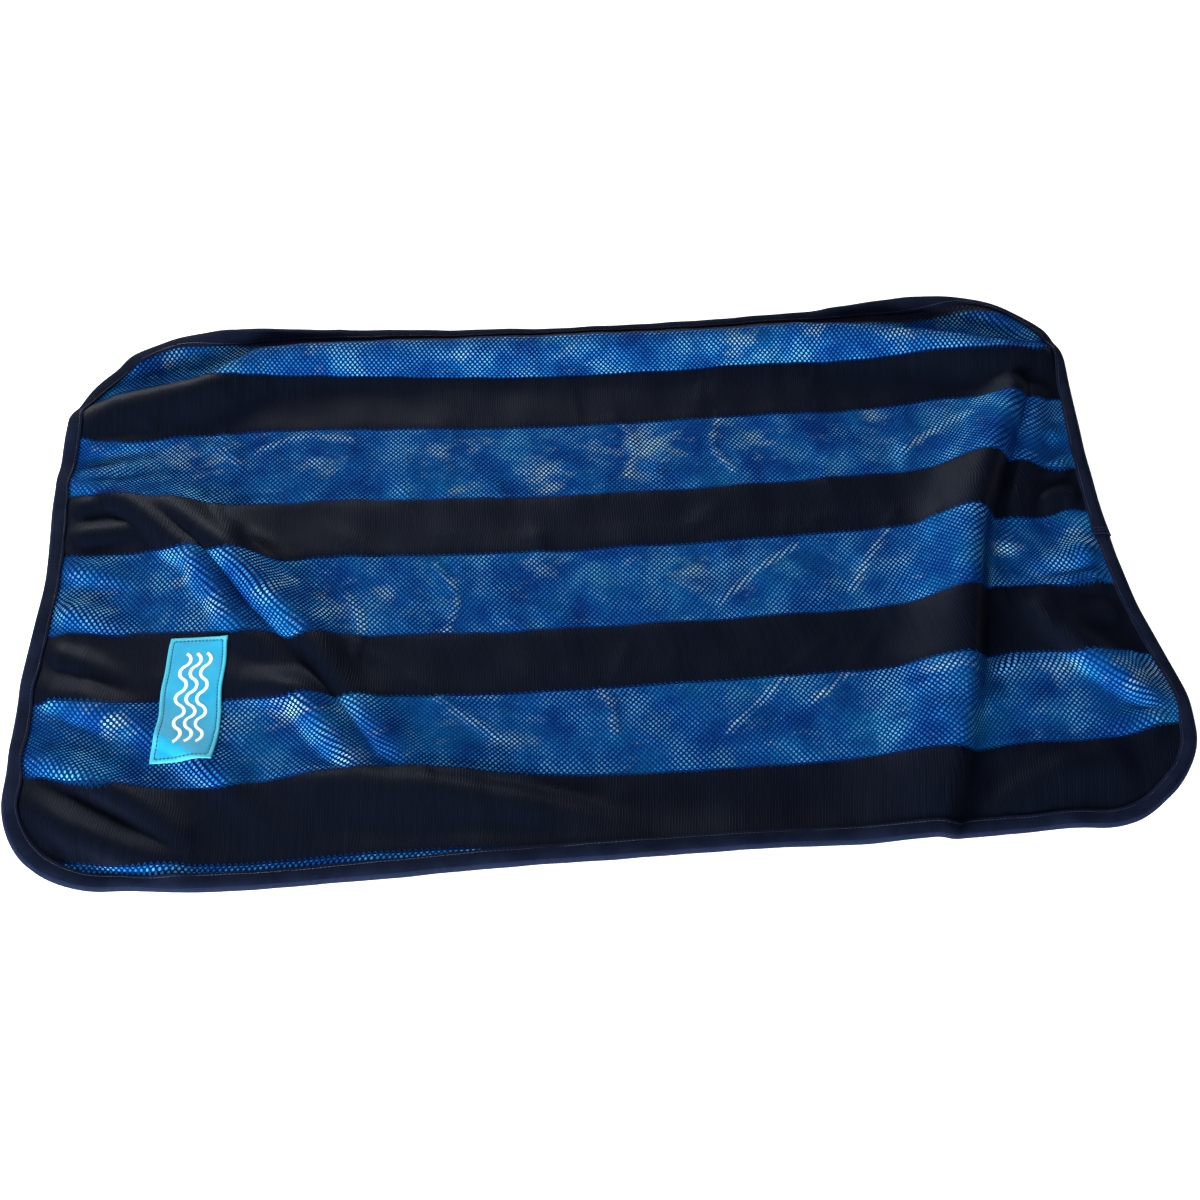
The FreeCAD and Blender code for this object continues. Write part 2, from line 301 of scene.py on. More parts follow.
# Where the bands run askew by themselves: (s, t) of the middle, reach along s and along t, and the
# shift towards the far edge.
BAND_PULLS = [
    # down the left edge
    (-395, -30, 50, 150, 12), (-400, 140, 35, 40, 9), (-368, 75, 42, 45, 14),
    (-380, 40, 70, 70, 8), (-320, 10, 40, 35, 8), (-300, -55, 60, 60, 6),
    (-355, -60, 45, 40, 6), (-390, -185, 75, 45, 16),
    # along the near edge
    (-140, -185, 90, 40, 15), (30, -242, 140, 40, -6),
    # on the right
    (215, 160, 60, 60, -7), (290, 187, 60, 40, -8), (322, 5, 20, 30, -6),
    (375, 5, 26, 35, 12), (300, -70, 40, 40, 4), (378, -59, 50, 40, 14),
    (388, -182, 35, 40, 16),
]


def smooth_line(points, per_span=8):
    """Catmull-Rom line through the points, as an array of rows."""
    p = np.array(points, float)
    p = np.vstack([2 * p[0] - p[1], p, 2 * p[-1] - p[-2]])
    rows = []
    for i in range(1, len(p) - 2):
        a, b, c, d = p[i - 1], p[i], p[i + 1], p[i + 2]
        for k in range(per_span):
            u = k / per_span
            rows.append(0.5 * (2 * b + (c - a) * u + (2 * a - 5 * b + 4 * c - d) * u**2
                               + (3 * b - a - 3 * c + d) * u**3))
    rows.append(p[-2])
    return np.array(rows)


def fold_height(x, y, points, left, right, per_span=8):
    """Height that one fold adds at x, y: a rounded crest with its own width on each side."""
    line = smooth_line(points, per_span)
    reach = 3 * max(left + right)
    low, high = line[:, :2].min(axis=0) - reach, line[:, :2].max(axis=0) + reach
    close = (x > low[0]) & (x < high[0]) & (y > low[1]) & (y < high[1])
    px, py = x[close], y[close]
    a, d = line[:-1, :2], line[1:, :2] - line[:-1, :2]
    best = np.full(px.shape, 1e9)
    height, side, share = np.zeros((3, *px.shape))
    for i in range(len(d)):
        ex, ey = px - a[i, 0], py - a[i, 1]
        along = np.clip((ex * d[i, 0] + ey * d[i, 1]) / (d[i] @ d[i]), 0, 1)
        off_x, off_y = ex - along * d[i, 0], ey - along * d[i, 1]
        dist = np.hypot(off_x, off_y)
        near = dist < best
        best = np.where(near, dist, best)
        height = np.where(near, line[i, 2] + along * (line[i + 1, 2] - line[i, 2]), height)
        turned = (d[i, 0] * off_y - d[i, 1] * off_x) / (np.hypot(*d[i]) * dist + 1e-9)
        side = np.where(near, turned, side)
        share = np.where(near, (i + along) / len(d), share)
    wide_left = left[0] + (left[1] - left[0]) * share
    wide_right = right[0] + (right[1] - right[0]) * share
    width = wide_right + (wide_left - wide_right) * (0.5 + 0.5 * side)
    out = np.zeros(x.shape)
    out[close] = height * np.exp(-((best / width) ** 2))
    return out


def random_wrinkles():
    """Short soft creases that run nearer to the middle as they near the near edge."""
    chance = np.random.default_rng(SEED)
    made = []
    for _ in range(WRINKLES):
        x = chance.uniform(-HALF_S + EDGE_CLEAR, HALF_S - EDGE_CLEAR)
        y = chance.uniform(-HALF_T + EDGE_CLEAR, HALF_T - FAR_EDGE_CLEAR)
        lean = WRINKLE_LEAN[0] if x < 0 else WRINKLE_LEAN[1]
        angle = math.radians(lean + chance.uniform(-WRINKLE_TURN, WRINKLE_TURN))
        length = chance.uniform(*WRINKLE_LENGTH)
        calm = CALM_SHARE if abs(x) < CALM_HALF else 1.0
        height = chance.uniform(*WRINKLE_HEIGHT) * calm
        width = (chance.uniform(*WRINKLE_WIDTH),) * 2
        bend = chance.uniform(-WRINKLE_BEND, WRINKLE_BEND) * length
        dx, dy = math.cos(angle), math.sin(angle)
        middle = (x - dy * bend, y + dx * bend, height)
        first, last = [(x + k * dx * length / 2, y + k * dy * length / 2, WRINKLE_END * height)
                       for k in (-1, 1)]
        made.append(([first, middle, last], width, width))
    return made


SMALL_FOLDS = random_wrinkles() + [
    ([(x, y, CREASE_HEIGHT) for x, y in line], (3, 3), (4, 4)) for line in CREASES]


def lift(x, y, inset):
    """Height of the floor side of the cloth at plan points x, y, which lie inset from the cut edge."""
    ridges = np.zeros(x.shape)
    for points, left, right in FOLDS:
        ridges += fold_height(x, y, points, left, right) ** 2
    held = np.clip((inset - GATHER_FROM) / (GATHER_FULL - GATHER_FROM), 0, 1)
    held = held * held * (3 - 2 * held)
    for points, width in GATHERS:
        ridges += (held * fold_height(x, y, points, width, width, 4)) ** 2
    ridges = np.sqrt(ridges)
    for points, left, right in SMALL_FOLDS:
        ridges += held * fold_height(x, y, points, left, right, 3)
    waves = np.zeros(x.shape)
    for height, length, degrees in RIPPLES:
        c, s = math.cos(math.radians(degrees)), math.sin(math.radians(degrees))
        bend = CREST_BEND * np.sin((x * s - y * c) / CREST_BEND_LENGTH + length)
        waves += height * np.sin(2 * math.pi * (x * c + y * s + bend) / length)
    return np.maximum(ridges + RIPPLE_SHARE * waves + LEAST_LIFT, 0.0)


def pull(x, y):
    """Sideways shift of plan points x, y."""
    dx, dy = np.zeros(x.shape), np.zeros(x.shape)
    for (px, py), reach, (mx, my) in PULLS:
        share = np.exp(-(((x - px) ** 2 + (y - py) ** 2) / reach**2))
        dx += mx * share
        dy += my * share
    return dx, dy


def outline_inset(s, t):
    """Distance inwards of cloth points from the cut edge, negative outside."""
    qs = np.abs(s) - (HALF_S - CORNER_RADIUS)
    qt = np.abs(t) - (HALF_T - CORNER_RADIUS)
    outside = np.hypot(np.maximum(qs, 0), np.maximum(qt, 0))
    return CORNER_RADIUS - outside - np.minimum(np.maximum(qs, qt), 0)


# ---- the folded surface
GRID = 2.5
MARGIN = 10.0


def even_out(x, y, z, axis):
    """Slide the points of each line along it until they are evenly spaced on the folds."""
    p = np.moveaxis(np.stack([x, y, z], axis=-1), axis, 0)
    steps = np.linalg.norm(np.diff(p, axis=0), axis=-1)
    run = np.concatenate([np.zeros((1,) + steps.shape[1:]), np.cumsum(steps, axis=0)])
    moved = np.moveaxis(x if axis == 0 else y, axis, 0)
    out = np.empty_like(moved)
    for k in range(moved.shape[1]):
        even = np.linspace(0, run[-1, k], len(run))
        out[:, k] = np.interp(even, run[:, k], moved[:, k])
    return np.moveaxis(out, 0, axis)


def folded_grid():
    """Cloth points of an even grid, their places, spaced on the folds as when flat, and the normals."""
    s = np.arange(-HALF_S - MARGIN, HALF_S + MARGIN + GRID / 2, GRID)
    t = np.arange(-HALF_T - MARGIN, HALF_T + MARGIN + GRID / 2, GRID)
    shrink = LAID_WIDTH / FLAT_WIDTH
    flat_s, flat_t = np.meshgrid(s, t, indexing="ij")
    inset = outline_inset(flat_s, flat_t)
    x, y = flat_s, flat_t * shrink
    dx, dy = pull(x, y)
    x, y = x + dx, y + dy
    for _ in range(3):
        z = lift(x, y, inset)
        x = even_out(x, y, z, 0)
        y = even_out(x, y, z, 1)
    places = np.stack([x, y, lift(x, y, inset)], axis=-1)
    n = np.cross(np.gradient(places, axis=0), np.gradient(places, axis=1))
    return s, t, places, n / np.linalg.norm(n, axis=-1, keepdims=True)


GRID_S, GRID_T, PLACES, NORMALS = folded_grid()


def on_cloth(s, t, height=0.0):
    """Places of cloth points s, t, raised by height along the surface's normal."""
    s, t = np.asarray(s, float), np.asarray(t, float)
    u = np.clip((s - GRID_S[0]) / GRID, 0, len(GRID_S) - 1.001)
    v = np.clip((t - GRID_T[0]) / GRID, 0, len(GRID_T) - 1.001)
    i, j = u.astype(int), v.astype(int)
    fu, fv = (u - i)[..., None], (v - j)[..., None]

    def blend(field):
        low = field[i, j] * (1 - fu) + field[i + 1, j] * fu
        high = field[i, j + 1] * (1 - fu) + field[i + 1, j + 1] * fu
        return low * (1 - fv) + high * fv

    return blend(PLACES) + blend(NORMALS) * np.asarray(height)[..., None]


def cloth_point(x, y):
    """The cloth point s, t that lies at plan point x, y."""
    away = np.hypot(PLACES[..., 0] - x, PLACES[..., 1] - y)
    i, j = np.unravel_index(np.argmin(away), away.shape)
    return GRID_S[i], GRID_T[j]


# ---- mesh helpers
def new_object(name, data):
    """Object with the data, in the scene."""
    obj = bpy.data.objects.new(name, data)
    bpy.context.scene.collection.objects.link(obj)
    return obj


def new_mesh(name, places, faces, uv):
    """Object from points in millimetres and quads, with uv in flat millimetres. Points of no face go."""
    faces = np.asarray(faces)
    used, faces = np.unique(faces, return_inverse=True)
    faces = faces.reshape(-1, 4)
    places = np.asarray(places).reshape(-1, 3)[used]
    places[:, 2] = np.maximum(places[:, 2], 0)
    mesh = bpy.data.meshes.new(name)
    mesh.vertices.add(len(places))
    mesh.vertices.foreach_set("co", (places * MM).astype(np.float32).ravel())
    mesh.loops.add(faces.size)
    mesh.loops.foreach_set("vertex_index", faces.astype(np.int32).ravel())
    mesh.polygons.add(len(faces))
    mesh.polygons.foreach_set("loop_start", np.arange(0, faces.size, 4, dtype=np.int32))
    mesh.polygons.foreach_set("use_smooth", np.full(len(faces), True))
    layer = mesh.uv_layers.new(name="flat")
    flat = np.asarray(uv).reshape(-1, 2)[used]
    layer.data.foreach_set("uv", flat[faces.ravel()].astype(np.float32).ravel())
    mesh.update(calc_edges=True)
    mesh.validate()
    return new_object(name, mesh)


def grid_faces(rows, columns, wrap=False):
    """Quads of a grid of rows by columns of points. wrap joins the last row to the first."""
    r = np.arange(rows if wrap else rows - 1)
    c = np.arange(columns - 1)
    r, c = np.meshgrid(r, c, indexing="ij")
    r, c = r.ravel(), c.ravel()
    here = r * columns + c
    there = (r + 1) % rows * columns + c
    return np.stack([here, there, there + 1, here + 1], axis=1)


def tube_faces(count, rings, sides):
    """Quads of count closed tubes of rings by sides points, the two ends capped. sides is even."""
    r, k = np.meshgrid(np.arange(rings - 1), np.arange(sides), indexing="ij")
    r, k = r.ravel(), k.ravel()
    after = (k + 1) % sides
    here, there = r * sides, (r + 1) * sides
    wall = np.stack([here + k, here + after, there + after, there + k], axis=1)
    caps = []
    for k in range(1, sides // 2):
        first = [k - 1, k, sides - 1 - k, sides - k]
        caps.append(first)
        caps.append([(rings - 1) * sides + c for c in reversed(first)])
    one = np.vstack([wall, np.array(caps)])
    return (np.arange(count)[:, None, None] * rings * sides + one).reshape(-1, 4)


def edge_path(step):
    """Cloth points and inward directions all round the cut edge, about step apart."""
    a, b, r = HALF_S - CORNER_RADIUS, HALF_T - CORNER_RADIUS, CORNER_RADIUS
    corners = [(a, b, 0, 2 * a), (-a, b, 90, 2 * b), (-a, -b, 180, 2 * a), (a, -b, 270, 2 * b)]
    rows = []
    for s, t, first, run in corners:
        n = round(r * math.pi / 2 / step)
        angle = math.radians(first) + math.pi / 2 * np.arange(n) / n
        c, w = np.cos(angle), np.sin(angle)
        rows.append(np.stack([s + r * c, t + r * w, -c, -w], axis=1))
        last = math.radians(first + 90)
        c, w = math.cos(last), math.sin(last)
        n = round(run / step)
        along = run * np.arange(n) / n
        inwards = np.full(n, -c), np.full(n, -w)
        rows.append(np.stack([s + r * c - w * along, t + r * w + c * along, *inwards], axis=1))
    return np.vstack(rows)


EDGE = edge_path(0.5)
EDGE_STEPS = np.hypot(*(np.roll(EDGE, -1, axis=0) - EDGE)[:, :2].T)
EDGE_RUN = np.concatenate([[0], np.cumsum(EDGE_STEPS)])
EDGE_LENGTH = EDGE_RUN[-1]


def edge_at(distance, inset):
    """Cloth points s, t at a distance along the cut edge and inset from it."""
    closed = np.vstack([EDGE, EDGE[:1]])
    s, t, ns, nt = (np.interp(np.mod(distance, EDGE_LENGTH), EDGE_RUN, closed[:, k]) for k in range(4))
    return s + ns * inset, t + nt * inset


# ---- node helpers
def link(value, socket):
    """Feed one socket's value to another."""
    value.id_data.links.new(value, socket)


def node(kind, inputs, tree=None, **settings):
    """A new node with its settings, in the tree of its first linked input if none is named.

    An input is given a number, a colour or vector less its last 1, or a socket.
    """
    if tree is None:
        tree = next(value.id_data for value in inputs.values() if isinstance(value, bpy.types.NodeSocket))
    n = tree.nodes.new("ShaderNode" + kind)
    for name, value in settings.items():
        setattr(n, name, value)
    for key, value in inputs.items():
        if isinstance(value, (int, float)):
            n.inputs[key].default_value = value
        elif isinstance(value, tuple):
            n.inputs[key].default_value = (*value, 1)
        else:
            link(value, n.inputs[key])
    return n


def shader(name, colour, roughness, specular, sheen=0.0):
    """A new material with its Principled shader."""
    m = bpy.data.materials.new(name)
    m.use_nodes = True
    b = m.node_tree.nodes["Principled BSDF"]
    b.inputs["Base Color"].default_value = (*colour, 1)
    b.inputs["Roughness"].default_value = roughness
    b.inputs["Specular IOR Level"].default_value = specular
    b.inputs["Sheen Weight"].default_value = sheen
    b.inputs["Sheen Roughness"].default_value = 0.4
    return m, b


def cloth_shader(*values):
    """A material with its shader, and the vector of flat millimetres."""
    m, b = shader(*values)
    return m, b, node("UVMap", {}, m.node_tree, uv_map="flat").outputs[0]


def scaled(vector, scale=(1, 1), turn=0.0):
    """The flat vector scaled, then turned by degrees."""
    n = node("Mapping", {"Vector": vector, "Scale": scale})
    n.inputs["Rotation"].default_value = (0, 0, math.radians(turn))
    return n.outputs[0]


def noise(vector, scale, detail=3.0):
    """Cloudy values from 0 to 1."""
    inputs = {"Vector": vector, "Scale": scale, "Detail": detail, "Roughness": 0.55}
    return node("TexNoise", inputs).outputs[0]


def stripes(vector, pitch, distortion=0.0):
    """Smooth stripes across the vector's x, pitch apart."""
    inputs = {"Vector": vector, "Scale": math.pi / 10 / pitch, "Distortion": distortion}
    return node("TexWave", inputs, bands_direction="X").outputs["Fac"]


def ramp(value, *stops):
    """Colours between stops (place, colour)."""
    n = node("ValToRGB", {0: value})
    parts = n.color_ramp.elements
    while len(parts) < len(stops):
        parts.new(0.5)
    for part, (place, colour) in zip(parts, stops):
        part.position = place
        part.color = (*colour, 1)
    return n.outputs[0]


def mixed(share, first, second, kind="MIX"):
    """Colour first with second over it by share."""
    inputs = {0: share, 6: first, 7: second}
    return node("Mix", inputs, data_type="RGBA", blend_type=kind).outputs[2]


def maths(kind, first, second=0.0, third=0.0):
    """Result of one step of arithmetic on up to three values."""
    return node("Math", {0: first, 1: second, 2: third}, operation=kind).outputs[0]


def ranged(value, low, high, start=0.0, end=1.0):
    """A value from start to end stretched to low to high."""
    inputs = {0: value, "From Min": start, "From Max": end, "To Min": low, "To Max": high}
    return node("MapRange", inputs).outputs[0]


def grey(level):
    """A colour with no hue."""
    return (level, level, level)


def weave_colour(shade, colour, value, dark, bright, places=(0.0, 1.0)):
    """Give the shader its colour, made darker and brighter by the weave's value, which is also its bump:
    painted shade in the weave's hollows and painted highlight on its threads.
    """
    lit = ramp(value, (places[0], dark), (places[1], bright))
    link(mixed(1.0, colour, lit, "MULTIPLY"), shade.inputs["Base Color"])


def bump(shade, value, depth, strength=0.6):
    """Small relief, depth in millimetres."""
    n = node("Bump", {"Strength": strength, "Distance": depth * MM, "Height": value})
    link(n.outputs[0], shade.inputs["Normal"])


# ---- materials
def net_material():
    """Blue polyester net: twisted yarn, its blue drifting a little over the sheet, near black in the
    strip as painted shade.
    """
    m, b, flat = cloth_shader("net", (0.001, 0.045, 0.15), 0.5, 0.01)
    b.inputs["Specular Tint"].default_value = (0.35, 0.7, 1.0, 1)
    drift = ramp(noise(flat, 0.022), (0.36, (0.001, 0.010, 0.075)),
                 (0.52, (0.001, 0.020, 0.105)), (0.68, (0.001, 0.034, 0.115)))
    strip = node("Attribute", {}, m.node_tree, attribute_name="painted_shade_strip").outputs["Fac"]
    # painted shade: the net is near black in the strip behind the far ridge
    drift = mixed(strip, drift, (0.012, 0.010, 0.014))
    yarn = stripes(scaled(flat, turn=38), 0.5, 1.5)
    weave_colour(b, drift, yarn, (0.45, 0.45, 0.5), (1.35, 1.35, 1.3))
    link(ranged(noise(flat, 1.4), 0.34, 0.54), b.inputs["Roughness"])
    bump(b, yarn, 0.12)
    return m


def knit_material():
    """Near-black navy rib: fine upright wales, and ribs that differ a little in how dark they are."""
    m, b, flat = cloth_shader("knit", (0.003, 0.004, 0.009), 0.4, 0.03)
    b.inputs["Specular Tint"].default_value = (0.5, 0.7, 1.0, 1)
    streak = noise(scaled(flat, (0.8, 0.02)), 1.0, 4.0)
    dark = ramp(streak, (0.3, (0.0018, 0.0026, 0.0060)), (0.55, (0.0026, 0.0036, 0.0084)),
                (0.8, (0.0038, 0.0050, 0.0115)))
    wale = stripes(flat, RIB_PITCH / 2, 0.6)
    weave_colour(b, dark, wale, grey(0.55), grey(1.3))
    link(ranged(streak, 0.52, 0.42), b.inputs["Roughness"])
    loops = stripes(scaled(flat, turn=90), 0.7, 2.0)
    bump(b, maths("MULTIPLY_ADD", wale, 0.7, maths("MULTIPLY", loops, 0.3)), 0.16)
    return m


def lining_material():
    """Absorbent non-woven lining: mid blue, fibrous, painted pale where it touches the net as a painted
    highlight, and painted near black as shade under the strip behind the far ridge.
    """
    m, b, flat = cloth_shader("lining", (0.03, 0.13, 0.26), 0.9, 0.1)
    mask = node("Attribute", {}, m.node_tree, attribute_name="lining_light_shade_mask").outputs["Color"]
    pale, dark, _ = node("SeparateColor", {0: mask}).outputs
    blue = ramp(noise(flat, 0.03), (0.36, (0.003, 0.070, 0.29)),
                (0.50, (0.012, 0.18, 0.50)), (0.66, (0.10, 0.42, 0.72)))
    # the pale tint is a painted highlight where the lining touches the net
    tint = ramp(noise(flat, 0.045), (0.42, (0.34, 0.68, 0.82)), (0.60, (0.50, 0.72, 0.66)))
    cloud = noise(scaled(flat, (0.05, 0.11)), 1.0, 4.0)
    ragged = maths("MULTIPLY_ADD", cloud, 1.5, -0.75)
    pale = ranged(maths("ADD", pale, ragged), 0.0, 1.0, 0.12, 0.80)
    # painted shade: near black under the strip behind the far ridge
    colour = mixed(dark, mixed(pale, blue, tint), (0.003, 0.008, 0.03))
    fibre = noise(flat, 0.6, 5.0)
    weave_colour(b, colour, fibre, grey(0.7), grey(1.25), (0.25, 0.75))
    bump(b, fibre, 0.3)
    return m


def back_material():
    """Plain navy jersey of the underside: fine wales crossed by courses."""
    m, b, flat = cloth_shader("backing", (0.006, 0.009, 0.024), 0.75, 0.12, 0.04)
    wale = stripes(flat, 1.1, 0.5)
    course = stripes(scaled(flat, turn=90), 0.9, 0.5)
    weave = maths("MULTIPLY", wale, course)
    base = ramp(noise(flat, 0.03), (0.35, (0.004, 0.006, 0.017)), (0.65, (0.009, 0.012, 0.03)))
    weave_colour(b, base, weave, grey(0.6), grey(1.5), (0.0, 0.7))
    bump(b, weave, 0.25)
    return m


def binding_material():
    """Navy binding tape: fine ribs across it, a little sheen, rubbed lighter along its fold."""
    m, b, flat = cloth_shader("binding", (0.005, 0.008, 0.024), 0.7, 0.015)
    from_fold = maths("ABSOLUTE", maths("SUBTRACT", node("SeparateXYZ", {0: flat}).outputs[1], FOLD_RUN))
    worn = maths("MULTIPLY", maths("LESS_THAN", from_fold, WORN_REACH), noise(flat, 0.35))
    base = ramp(noise(flat, 0.05), (0.35, (0.0034, 0.0052, 0.014)), (0.65, (0.006, 0.009, 0.022)))
    base = mixed(worn, base, (0.012, 0.017, 0.042))
    rib = stripes(flat, 0.62, 0.4)
    weave_colour(b, base, rib, grey(0.62), grey(1.25))
    link(ranged(noise(flat, 0.9), 0.62, 0.82), b.inputs["Roughness"])
    bump(b, rib, 0.16)
    return m


def thread_material(name, colour):
    """Twisted sewing thread."""
    m, b, flat = cloth_shader(name, colour, 0.42, 0.35)
    twist = stripes(scaled(flat, turn=40), 0.34)
    deep = tuple(0.45 * c for c in colour)
    bright = tuple(1.5 * c for c in colour)
    # painted shade in the twist's grooves and painted highlight on its ridges, the same value as the bump
    link(ramp(twist, (0.0, deep), (0.8, bright)), b.inputs["Base Color"])
    bump(b, twist, 0.08)
    return m


def label_material():
    """Satin-woven label: light blue field, paler hem outside the stitch line, fine weave."""
    m, b, flat = cloth_shader("label", (0.02, 0.3, 0.48), 0.38, 0.08)
    past_seam = []
    for axis, size in zip(node("SeparateXYZ", {0: flat}).outputs, LABEL_SIZE):
        past_seam.append(maths("SUBTRACT", maths("ABSOLUTE", axis), size / 2 - LABEL_SEAM))
    hem = maths("GREATER_THAN", maths("MAXIMUM", *past_seam), 0.35)
    field = ramp(noise(flat, 0.05), (0.35, (0.012, 0.27, 0.45)), (0.65, (0.028, 0.31, 0.49)))
    weft = stripes(scaled(flat, turn=90), 0.32, 0.4)
    warp = stripes(flat, 0.5, 0.4)
    weave_colour(b, mixed(hem, field, (0.05, 0.37, 0.50)), weft, grey(0.84), grey(1.08))
    bump(b, maths("MULTIPLY_ADD", warp, 0.4, maths("MULTIPLY", weft, 0.6)), 0.08, 0.5)
    return m


def motif_material():
    """White embroidery: satin stitches lying across each line."""
    m, b, flat = cloth_shader("motif", (0.85, 0.9, 0.92), 0.45, 0.3)
    stitch = stripes(flat, 0.42, 0.3)
    # painted shade between the satin stitches and painted highlight on them, the same value as the bump
    satin = ramp(stitch, (0.0, (0.66, 0.76, 0.8)), (0.5, (0.9, 0.93, 0.94)))
    link(satin, b.inputs["Base Color"])
    bump(b, stitch, 0.14)
    return m


MATERIALS = {
    "net": net_material(),
    "knit": knit_material(),
    "lining": lining_material(),
    "backing": back_material(),
    "binding": binding_material(),
    "thread": thread_material("thread", (0.008, 0.011, 0.036)),
    "label": label_material(),
    "label_thread": thread_material("label_thread", (0.003, 0.035, 0.06)),
    "motif": motif_material(),
}


# ---- bands
# Flat t of the bands' boundaries from the far edge to the near one, at the sheet's middle.
BAND_WIDTHS = [FIRST_NET, KNIT] + [NET, KNIT] * (NET_BANDS - 2)
BAND_EDGES = [HALF_T, *(HALF_T - np.cumsum(BAND_WIDTHS)), -HALF_T]


def skew(s, t):
    """How far a band's boundary lies from its place at the middle, more towards the near edge."""
    shift = -BAND_SKEW * s / LENGTH * np.clip((HALF_T - t) / FLAT_WIDTH, 0, 1)
    for middle_s, middle_t, reach_s, reach_t, amount in BAND_PULLS:
        spread = ((s - middle_s) / reach_s) ** 2 + ((t - middle_t) / reach_t) ** 2
        shift = shift + amount * np.exp(-spread)
    return shift


def net_band(number, high, low):
    """Open net: a rhombus of strands round each hole, rounded off towards it."""
    columns = int(LENGTH / HOLE_PITCH) + 2
    rows = int((high - low + 2 * BAND_SKEW) / ROW_PITCH) + 3
    i, j = np.meshgrid(np.arange(-columns // 2, columns // 2), np.arange(rows), indexing="ij")
    s = (i * HOLE_PITCH + (j % 2) * HOLE_PITCH / 2).ravel()
    t = (high - j * ROW_PITCH).ravel()
    last = low - (ROW_PITCH if number < NET_BANDS else BAND_SKEW)
    keep = (t > last) & (outline_inset(s, t + skew(s, t)) > NET_END)
    s, t = s[keep], t[keep]
    k = np.arange(HOLE_SIDES)
    angles = np.radians(k * 360 / HOLE_SIDES)
    outer_s = np.array([0.5, 0.25, 0, -0.25, -0.5, -0.25, 0, 0.25]) * HOLE_PITCH
    outer_t = np.array([0, 0.5, 1, 0.5, 0, -0.5, -1, -0.5]) * ROW_PITCH
    ring_s = np.concatenate([outer_s, HOLE_RADII[0] * np.cos(angles)])
    ring_t = np.concatenate([outer_t, HOLE_RADII[1] * np.sin(angles)])
    knot = np.tile([1.0, STRAND_SAG], HOLE_SIDES // 2) * STRAND_RISE
    ring_h = np.concatenate([knot, np.full(HOLE_SIDES, -HOLE_SINK)])
    ps = (s[:, None] + ring_s).ravel()
    pt = (t[:, None] + ring_t).ravel()
    ph = np.tile(ring_h, len(s)) + FACE_Z
    pt = pt + skew(ps, pt)
    after = (k + 1) % HOLE_SIDES
    cell = np.stack([k, after, after + HOLE_SIDES, k + HOLE_SIDES], axis=1)
    faces = (np.arange(len(s))[:, None, None] * 2 * HOLE_SIDES + cell).reshape(-1, 4)
    uv = np.stack([ps, pt], axis=1)
    piece = new_mesh(f"net_band_{number}_cloth", on_cloth(ps, pt, ph), faces, uv)
    return piece


def knit_band(number, high, low):
    """Dense knit with real ribs, rolled down a little at its two boundaries."""
    s = np.arange(-HALF_S + KNIT_MARGIN, HALF_S - KNIT_MARGIN, RIB_PITCH / RIB_POINTS)
    t = np.linspace(high, low, KNIT_ROWS)
    ps, pt = np.meshgrid(s, t, indexing="ij")
    rib = np.abs(np.sin(math.pi * ps / RIB_PITCH))
    edge = np.minimum(high - pt, pt - low)
    height = KNIT_Z + RIB_RISE * rib - ROLL_DROP * np.exp(-edge / ROLL_REACH)
    flat_t = pt + skew(ps, pt)
    faces = grid_faces(*ps.shape)
    keep = (outline_inset(ps, flat_t).ravel()[faces] > KNIT_END).all(axis=1)
    uv = np.stack([ps, flat_t], axis=-1)
    piece = new_mesh(f"knit_band_{number}_cloth", on_cloth(ps, flat_t, height), faces[keep], uv)
    return piece


# ---- hidden layers
def layer_sheet(name, height, step):
    """A whole layer, following the folds, up to just inside the binding's fold."""
    s, t = (np.arange(-half + LAYER_MARGIN, half - LAYER_MARGIN + step / 2, step)
            for half in (HALF_S, HALF_T))
    ps, pt = np.meshgrid(s, t, indexing="ij")
    faces = grid_faces(*ps.shape)
    keep = (outline_inset(ps, pt).ravel()[faces] > LAYER_END).all(axis=1)
    uv = np.stack([ps, pt], axis=-1)
    piece = new_mesh(name, on_cloth(ps, pt, np.full(ps.shape, height)), faces[keep], uv)
    return piece


def plan_places(mesh):
    """Plan x, y of the mesh's points, in millimetres."""
    co = np.empty(len(mesh.vertices) * 3, np.float32)
    mesh.vertices.foreach_get("co", co)
    return (co.reshape(-1, 3) / MM)[:, :2].T.astype(float)


def shade_strip_start(x):
    """Plan y from which the first net and its lining are painted near black as shade, up to the far
    binding.
    """
    full = np.clip((STRIP_HALF - np.abs(x - STRIP_MIDDLE)) / STRIP_TAPER, 0, 1)
    return FAR_EDGE_Y - TAPE_WIDTH - STRIP_WIDTH * full


def paint_net_shade(piece):
    """Mark the strip of the first net that is painted near black as shade."""
    x, y = plan_places(piece.data)
    layer = piece.data.attributes.new("painted_shade_strip", "FLOAT", "POINT")
    layer.data.foreach_set("value", (y > shade_strip_start(x)).astype(np.float32))


